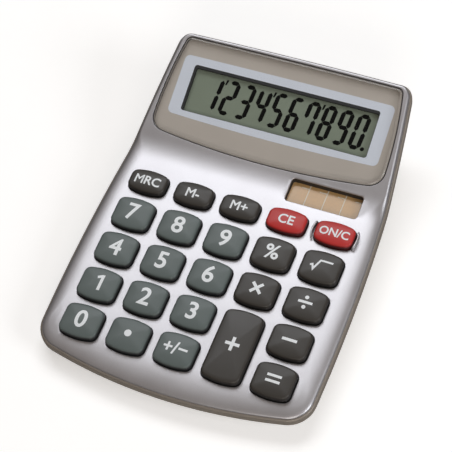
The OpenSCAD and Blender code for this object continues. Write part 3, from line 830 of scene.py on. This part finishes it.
def make_lens():
    """Clear display lens with a rounded edge that stands just above the casing."""
    shell = Shell()
    rings = [
        levelled(lens_outline(-LENS_GAP - 0.18), LENS_T, SLOPE),
        levelled(lens_outline(-LENS_GAP), LENS_T - 0.25, SLOPE),
    ]
    rise = LENS_ROUND_LOW + LENS_PROUD
    for a in turns(8):
        inset = LENS_GAP + LENS_ROUND_IN * (1 - math.cos(a))
        rings.append(levelled(lens_outline(-inset), LENS_ROUND_LOW - rise * math.sin(a), SLOPE))
    shell.solid(rings)
    piece = build("lens", shell, clear, slot="lens", replaces=["display_lens"], sharp=60, weighted=True)
    piece.data.materials.append(rim_painted_highlight)
    piece.data.materials.append(black)
    to_slope = SLOPE.inverted()
    for face in piece.data.polygons:
        height = (to_slope @ (face.center / MM)).z
        # The rounded edge takes the light material: real gloss with a painted highlight.
        in_round = -0.5 < height < LENS_PROUD - 0.04
        # Black on the sides of the lens is painted shade: the dark line of the gap round the lens.
        in_side = -1.5 < height <= -0.5
        if in_round:
            face.material_index = 1
        elif in_side:
            face.material_index = 2
    return piece


def make_plate(name, outline, hole, top, material):
    """Thin printed plate on the slope, with a window."""
    bottom = top + PRINT_T
    shell = Shell()
    outer_low, outer_high = shell.loft([levelled(outline, bottom, SLOPE), levelled(outline, top, SLOPE)])
    hole_low, hole_high = shell.loft([levelled(hole, bottom, SLOPE), levelled(hole, top, SLOPE)])
    shell.skin(outer_low, [hole_low])
    shell.skin(outer_high, [hole_high])
    return build(name, shell, material, slot="reflector")


def make_window_painted_shadow():
    """Black rim down the walls of the display window, as painted shadow, wider at the top and the left."""
    shell = Shell()
    # The inner edge sits off centre, so the painted shadow is wider at the top and the left, where the
    # frame's shadow falls.
    inner = round_rect(WINDOW_W - 0.9, WINDOW_D - 1.2, 0.8, (0.35, WINDOW_S - 0.5))
    outer = round_rect(WINDOW_W - 0.02, WINDOW_D - 0.02, 0.99, (0, WINDOW_S))
    foot = -FILM_TOP - 0.02
    first, last = shell.loft([
        levelled(outer, foot, SLOPE), levelled(outer, RIM_TOP, SLOPE),
        levelled(inner, RIM_TOP, SLOPE), levelled(inner, foot, SLOPE),
    ])
    shell.bridge(last, first)
    return build("window_painted_shadow", shell, black, slot="black_plastic")


FRAME_OUTLINE = bowed_outline(41.1, 4000, 26, (14.2, 900, 2), (38.3, 5000, 2), (12, 6, 8, 6, 6))

make_lens()
make_window_painted_shadow()
BORDER_WINDOW = round_rect(WINDOW_W + 1, WINDOW_D + 1, 1.2, (0, WINDOW_S))
FRAME_WINDOW = round_rect(WINDOW_W, WINDOW_D, 1, (0, WINDOW_S))
make_plate("lens_border_print", lens_outline(-0.2), BORDER_WINDOW, BORDER_TOP, border_ink_painted_reflection)
make_plate("display_frame_print", FRAME_OUTLINE, FRAME_WINDOW, FRAME_TOP, frame_ink)


def segment_bars(width, height, thick, gap):
    """The seven bars of a digit, as outlines around the digit's middle."""
    h = thick / 2
    x = width / 2 - h
    y = height / 2 - h

    def level(cy):
        end = x - gap
        corners = [
            (-end, cy), (h - end, cy - h), (end - h, cy - h),
            (end, cy), (end - h, cy + h), (h - end, cy + h),
        ]
        return [Vector(p) for p in corners]

    def upright(cx, low, high):
        low += gap
        high -= gap
        corners = [
            (cx, low), (cx + h, low + h), (cx + h, high - h),
            (cx, high), (cx - h, high - h), (cx - h, low + h),
        ]
        return [Vector(p) for p in corners]

    return {
        "a": level(y), "g": level(0), "d": level(-y),
        "b": upright(x, 0, y), "c": upright(x, -y, 0), "f": upright(-x, 0, y), "e": upright(-x, -y, 0),
    }


LIT = {
    "1": "bc", "2": "abged", "3": "abgcd", "4": "fgbc", "5": "afgcd",
    "6": "afgedc", "7": "abcf", "8": "abcdefg", "9": "abcdfg", "0": "abcdef",
}


def make_segments():
    """Dark segments of the lit digits, the thousands marks and the decimal point."""
    slant = math.tan(math.radians(5))
    middle_s = 26.2
    first_x = -26.5
    pitch = 6.36
    bars = segment_bars(4.9, 13.5, 1.58, 0.06)
    thousands_mark = [(-0.45, 4.4), (0.2, 4.6), (0.5, 6.5), (-0.3, 6.5)]
    shell = Shell()
    outlines = []
    for i, digit in enumerate("1234567890"):
        for bar in LIT[digit]:
            outlines.append(moved(bars[bar], Vector((first_x + pitch * i, 0))))
    for i in (0, 3, 6):
        x = first_x + pitch * (i + 0.5)
        outlines.append([Vector((x + dx, dy)) for dx, dy in thousands_mark])
    outlines.append(circle((34.1, -5.9), 0.75, 20))
    for outline in outlines:
        placed = [Vector((p.x + p.y * slant, p.y + middle_s)) for p in outline]
        shell.prism(placed, FILM_TOP + 0.01, FILM_TOP + 0.05, SLOPE)
    return build("lcd_digits", shell, lcd_dark, slot="lcd_film")


make_segments()


# ---------------------------------------------------------------- solar cell


def make_solar_cell():
    """Four tan strips on a dark carrier, with cream lines between them; the strips' tan is the cells' brown
    with a painted reflection of the lamps.
    """
    carrier_top = -1.86
    strip_top = -1.835
    line_w = 0.42
    line_length = SOLAR_D + 0.9
    carrier = Shell()
    carrier_plan = round_rect(SOLAR_W + 2.4, SOLAR_D + 1.5, 0.3, SOLAR_AT)
    carrier.prism(carrier_plan, carrier_top - 1.02, carrier_top, DECK)
    build("solar_carrier", carrier, black, slot="solar", replaces=["solar_cell"])
    strip = SOLAR_W / 4
    cells = Shell()
    lines = Shell()
    for i in range(4):
        x = SOLAR_AT.x - SOLAR_W / 2 + strip * (i + 0.5)
        cell = round_rect(strip - 0.35, line_length, 0.1, (x, SOLAR_AT.y))
        cells.prism(cell, carrier_top - 0.02, strip_top, DECK)
        dash = round_rect(strip * 0.42, line_w, 0.1, (x + strip * 0.27, SOLAR_AT.y + 3.1))
        lines.prism(dash, strip_top - 0.005, strip_top + 0.013, DECK)
        if i:
            divider = round_rect(line_w, line_length, 0.1, (x - strip / 2, SOLAR_AT.y))
            lines.prism(divider, carrier_top - 0.02, strip_top + 0.011, DECK)
    build("solar_strips", cells, solar_brown_and_painted_reflection, slot="solar")
    build("solar_lines", lines, solar_cream, slot="solar")


make_solar_cell()


# ---------------------------------------------------------------- keys


SHOULDER_R = 1
SHOULDER_LOW = 1.5
SHOULDER_END = 78
CROWN_SHARES = (0.93, 0.84, 0.72, 0.58, 0.42, 0.25, 0.1)


def key_rings(depth, centre):
    """Rings of a key cap from the lower edge of its skirt to the middle of its crown."""
    skirt = moved(key_outline(depth, 0), centre)
    rings = [levelled(skirt, WALL + 0.05, DECK), levelled(skirt, 0.6 - SHOULDER_LOW, DECK)]
    for a in turns(8, 0, SHOULDER_END):
        outline = moved(key_outline(depth, -SHOULDER_R * (1 - math.cos(a))), centre)
        rings.append(levelled(outline, -SHOULDER_LOW - SHOULDER_R * math.sin(a), DECK))
    end = math.radians(SHOULDER_END)
    edge = key_outline(depth, -SHOULDER_R * (1 - math.cos(end)))
    edge_z = SHOULDER_LOW + SHOULDER_R * math.sin(end)
    for share in CROWN_SHARES:
        height = edge_z + (KEY_RISE - 0.02 - edge_z) * (1 - share ** 2.2)
        rings.append(levelled(moved([p * share for p in edge], centre), -height, DECK))
    return rings


def key_look(name):
    """Material and material slot of a key."""
    if name in ("ce", "on_c"):
        return red_plastic_and_painted_shade, "key_red"
    if name in "0123456789" or name in ("point", "sign"):
        return digit_plastic_and_painted_shade, "key_digit"
    return function_plastic_and_painted_shade, "key_function"


def make_key(name, column, row):
    """Key cap with its crown, the flange that keeps it in, and its plunger."""
    depth = key_depth(name, row)
    centre = key_centre(column, row)
    shell = Shell()
    first, last = shell.loft(key_rings(depth, centre))
    shell.skin(last)
    x = KEY_W / 2 + 0.8
    y = depth / 2 + KEY_BOW + 0.6
    c = 2.2
    corners = [
        (x - c, -y), (x, c - y), (x, y - c), (x - c, y),
        (c - x, y), (-x, y - c), (-x, c - y), (c - x, -y),
    ]
    flange = moved([Vector(p) for p in corners], centre)
    top = shell.ring(levelled(flange, FLANGE_TOP, DECK))
    low = shell.ring(levelled(flange, FLANGE_LOW, DECK))
    shell.skin(first)
    shell.bridge(top, low)
    shell.skin(top)
    shell.skin(low)
    shell.prism(circle(centre, 2, 28), -PLUNGER_END, -FLANGE_LOW - 0.01, DECK)
    material, slot = key_look(name)
    return build("cap_" + name, shell, material, "key_" + name, slot, ["key_" + name], sharp=45)


def thick_line(points, thick):
    """Outline of a line of even thickness through a list of points."""
    points = [Vector(p) for p in points]
    left = []
    right = []
    for i, p in enumerate(points):
        before = (p - points[i - 1]).normalized() if i else (points[1] - p).normalized()
        after = (points[i + 1] - p).normalized() if i + 1 < len(points) else before
        normal = Vector((-before.y - after.y, before.x + after.x)).normalized()
        reach = thick / 2 / max(normal.dot(Vector((-before.y, before.x))), 0.35)
        left.append(p + normal * reach)
        right.append(p - normal * reach)
    return right + left[::-1]


def bar(half_length, y, thick):
    """Outline of a level bar."""
    return thick_line([(-half_length, y), (half_length, y)], thick)


def cross(length, thick, angle):
    """Outline of a plus sign, turned by an angle in degrees."""
    a = length / 2
    t = thick / 2
    points = [(t, t), (a, t), (a, -t), (t, -t), (t, -a), (-t, -a), (-t, -t), (-a, -t),
              (-a, t), (-t, t), (-t, a), (t, a)]
    turn = Matrix.Rotation(math.radians(angle), 2)
    return [turn @ Vector(p) for p in points]


ONE = [(0.25, -3.05), (1.35, -3.05), (1.35, 3.05), (0.45, 3.05), (-1.3, 2.15), (-0.95, 1.25), (0.25, 1.8)]
ROOT = [(-3.7, -0.7), (-2.9, -0.3), (-2.2, -2), (-0.5, 1.8), (4, 1.8)]
SIGNS = {
    "1": [[Vector(p) for p in ONE]],
    "root": [thick_line(ROOT, 0.7)],
    "multiply": [cross(5.4, 1.1, 45)],
    "divide": [bar(2.6, 0, 0.95), circle((0, 1.9), 0.72, 24), circle((0, -1.9), 0.72, 24)],
    "plus": [cross(5.2, 1.15, 0)],
    "minus": [bar(2.7, 0, 1.05)],
    "point": [circle((0, 0), 1.3, 28)],
    "equals": [bar(2.6, 1.05, 0.95), bar(2.6, -1.05, 0.95)],
}


BOLD = 0.028


def emboldened(loop, loops, amount):
    """Moves an outline outwards, or inwards where it is the edge of a hole, to thicken a letter."""
    hole = sum(inside(loop[0], other) for other in loops if other is not loop) % 2
    area = sum(a.x * b.y - b.x * a.y for a, b in zip(loop, loop[1:] + loop[:1]))
    reach = amount if (area > 0) != bool(hole) else -amount
    kept = [p for i, p in enumerate(loop) if (p - loop[i - 1]).length > 0.01]
    grown = []
    for i, p in enumerate(kept):
        before = (p - kept[i - 1]).normalized()
        after = (kept[(i + 1) % len(kept)] - p).normalized()
        normal = Vector((before.y + after.y, -before.x - after.x)).normalized()
        grown.append(p + normal * reach / max(normal.dot(Vector((before.y, -before.x))), 0.6))
    return grown


def text_outlines(text, height):
    """Outlines of bold lettering, height tall, around the origin, in millimetres."""
    curve = bpy.data.curves.new("lettering", "FONT")
    curve.body = text
    curve.size = 10
    curve.resolution_u = 5
    curve.fill_mode = "NONE"
    holder = bpy.data.objects.new("lettering", curve)
    bpy.context.scene.collection.objects.link(holder)
    bpy.context.view_layer.update()
    mesh = bpy.data.meshes.new_from_object(holder.evaluated_get(bpy.context.evaluated_depsgraph_get()))
    points = [v.co.to_2d() for v in mesh.vertices]
    neighbours = {i: [] for i in range(len(points))}
    for edge in mesh.edges:
        neighbours[edge.vertices[0]].append(edge.vertices[1])
        neighbours[edge.vertices[1]].append(edge.vertices[0])
    bpy.data.objects.remove(holder)
    bpy.data.curves.remove(curve)
    bpy.data.meshes.remove(mesh)

    extra = BOLD * height
    xs = [p.x for p in points]
    ys = [p.y for p in points]
    scale = (height - 2 * extra) / (max(ys) - min(ys))
    middle = Vector(((max(xs) + min(xs)) / 2, (max(ys) + min(ys)) / 2))
    loops = []
    unused = set(range(len(points)))
    while unused:
        at = min(unused)
        loop = []
        while at in unused:
            unused.remove(at)
            loop.append((points[at] - middle) * scale)
            ahead = [i for i in neighbours[at] if i in unused]
            at = ahead[0] if ahead else at
        loops.append(loop)
    return [emboldened(loop, loops, extra) for loop in loops]


def flat_triangles(loops, spacing):
    """Fills outlines with small triangles; a loop within another is a hole."""
    points = []
    edges = []
    for loop in loops:
        ring = []
        for a, b in zip(loop, loop[1:] + loop[:1]):
            cuts = math.ceil((b - a).length / spacing)
            ring += [a.lerp(b, i / cuts) for i in range(cuts)]
        edges += [(len(points) + i, len(points) + (i + 1) % len(ring)) for i in range(len(ring))]
        points += ring
    reach_x = max(abs(p.x) for p in points)
    reach_y = max(abs(p.y) for p in points)
    for i in range(math.floor(-reach_x / spacing), math.ceil(reach_x / spacing)):
        for j in range(math.floor(-reach_y / spacing), math.ceil(reach_y / spacing)):
            p = Vector((i + 0.5, j + 0.5)) * spacing
            if sum(inside(p, loop) for loop in loops) % 2:
                points.append(p)
    found, _, faces, _, _, _ = delaunay_2d_cdt(points, edges, [], 0, 1e-4)
    kept = []
    for face in faces:
        middle = sum((found[i] for i in face), Vector((0, 0))) / len(face)
        if sum(inside(middle, loop) for loop in loops) % 2:
            kept.append(face)
    return found, kept


LEGEND_RISE = 0.012
LEGEND_SINK = 0.05
LEGEND_HEIGHT = 6.7
LEGEND_HEIGHTS = {"MRC": 3.6, "M-": 3.6, "M+": 3.6, "CE": 3.7, "ON/C": 3.2, "%": 5.8, "+/−": 4.8}


def make_legend(name, cap, text, column, row):
    """White legend that lies on the crown of a key, as a thin closed plate."""
    loops = text_outlines(text, LEGEND_HEIGHTS.get(text, LEGEND_HEIGHT)) if text else SIGNS[name]
    found, faces = flat_triangles(loops, 0.9)
    tree = BVHTree.FromObject(cap, bpy.context.evaluated_depsgraph_get())
    lift = Vector((0, 0.3 if row >= 0 else 0))
    centre = key_centre(column, row) + lift
    down = (DECK.to_3x3() @ Vector((0, 0, -1))).normalized()
    tops = []
    lows = []
    for p in found:
        above = DECK @ Vector((p.x + centre.x, p.y + centre.y, 8))
        hit = tree.ray_cast(above * MM, down)[0] / MM
        tops.append(hit - down * LEGEND_RISE)
        lows.append(hit + down * LEGEND_SINK)
    shell = Shell()
    top_ids = shell.ring(tops)
    low_ids = shell.ring(lows)
    edge_faces = {}
    for face in faces:
        shell.faces.append([top_ids[i] for i in face])
        shell.faces.append([low_ids[i] for i in reversed(face)])
        for a, b in zip(face, face[1:] + face[:1]):
            edge_faces.setdefault((min(a, b), max(a, b)), []).append(face)
    for (a, b), users in edge_faces.items():
        if len(users) == 1:
            shell.faces.append((top_ids[a], top_ids[b], low_ids[b], low_ids[a]))
    return build("legend_" + name, shell, legend_ink, "key_" + name, cap["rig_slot"], sharp=60)


for key_name, (key_column, key_row, key_text) in KEYS.items():
    key_cap = make_key(key_name, key_column, key_row)
    make_legend(key_name, key_cap, key_text, key_column, key_row)


# ---------------------------------------------------------------- carried-over nodes

FINISHES = {
    "lcd_front_polariser": lcd_green, "lcd_glass": glass, "lcd_reflector": foil, "lcd_bracket": black,
    "lcd_bracket_screws": steel, "lcd_ribbon": gold_film, "main_board": board, "board_screws": steel,
    "dome_sheet": dome_rubber, "controller_chip": blob, "capacitor": sleeve,
    "solar_contact_left": contact, "solar_contact_right": contact, "button_cell": steel,
    "battery_contact_plus": spring, "battery_contact_minus": spring, "battery_cover": taupe,
    "battery_cover_screw": steel, "case_screws": steel, "foot_front_left": rubber,
    "foot_front_right": rubber, "foot_rear_left": rubber, "foot_rear_right": rubber,
}
for node_name, finish in FINISHES.items():
    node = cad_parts[node_name]
    node.data.materials.clear()
    node.data.materials.append(finish)


# ---------------------------------------------------------------- floor, light and camera


def make_floor():
    """Plain pale floor, just below the feet."""
    half = 3000
    corners = [(-half, -half), (half, -half), (half, half), (-half, half)]
    mesh = bpy.data.meshes.new("floor")
    mesh.from_pydata([Vector((x, y, -0.02)) * MM for x, y in corners], [], [(0, 1, 2, 3)])
    pale = finish_material("floor_paper", "#f4f3f1", rough=0.9, grain=300, grain_bump=0.01, mottle=0.01)
    shader = pale.node_tree.nodes["Principled BSDF"]
    shader.inputs["Emission Color"].default_value = (1, 1, 1, 1)
    shader.inputs["Emission Strength"].default_value = 0.42
    mesh.materials.append(pale)
    floor = bpy.data.objects.new("floor", mesh)
    bpy.context.scene.collection.objects.link(floor)
    floor.visible_glossy = False


def aim(direction, distance, target):
    """Matrix of a light or camera that looks at the target from a direction."""
    back = Vector(direction).normalized()
    right = Vector((0, 0, 1)).cross(back).normalized()
    up = back.cross(right)
    turn = Matrix((right, up, back)).transposed().to_4x4()
    return Matrix.Translation(target + back * distance) @ turn


def add_softbox(name, direction, distance, width, height, watts, colour):
    """Rectangular area light aimed at the object."""
    light = bpy.data.lights.new(name, "AREA")
    light.shape = "RECTANGLE"
    light.size = width
    light.size_y = height
    light.energy = watts
    light.color = colour
    holder = bpy.data.objects.new(name, light)
    bpy.context.scene.collection.objects.link(holder)
    holder.matrix_world = aim(direction, distance, Vector((0, 0, 0.015)))


def light_scene():
    """Large softboxes in a warm grey surround that is darker near the floor."""
    world = bpy.data.worlds.new("studio")
    world.use_nodes = True
    tree = world.node_tree
    surround = tree.nodes["Background"]
    surround.inputs["Strength"].default_value = 0.5
    direction = add_node(tree, "TexCoord")
    parts = add_node(tree, "SeparateXYZ", direction.outputs["Generated"])
    ramp = add_node(tree, "ValToRGB", parts.outputs["Z"])
    ramp.color_ramp.elements[0].position = 0.3
    ramp.color_ramp.elements[0].color = linear("#4a443f")
    ramp.color_ramp.elements[1].position = 0.75
    ramp.color_ramp.elements[1].color = linear("#a79c92")
    tree.links.new(ramp.outputs["Color"], surround.inputs["Color"])
    bpy.context.scene.world = world
    add_softbox("softbox_main", (-0.2, 0.49, 0.85), 1.2, 0.95, 0.5, 6, (0.93, 0.96, 1))
    add_softbox("softbox_side", (0.9, -0.15, 0.5), 1.3, 0.5, 0.4, 5, (0.93, 0.96, 1))
    add_softbox("softbox_front", (0.35, -0.8, 0.5), 1.5, 0.7, 0.4, 4.8, (1, 0.95, 0.9))


def add_camera():
    """Camera above the front right of the object, rolled to the left."""
    data = bpy.data.cameras.new("camera")
    data.sensor_width = 36
    data.lens = 131.42
    data.clip_start = 0.01
    camera = bpy.data.objects.new("camera", data)
    bpy.context.scene.collection.objects.link(camera)
    target = Vector((-2.063, -0.502, 16)) * MM
    position = Vector((174.457, -278.153, 498.559)) * MM
    offset = position - target
    camera.matrix_world = aim(offset, offset.length, target) @ Matrix.Rotation(math.radians(-11.807), 4, "Z")
    bpy.context.scene.camera = camera


make_floor()
light_scene()
add_camera()
bpy.context.scene.view_settings.view_transform = "Standard"
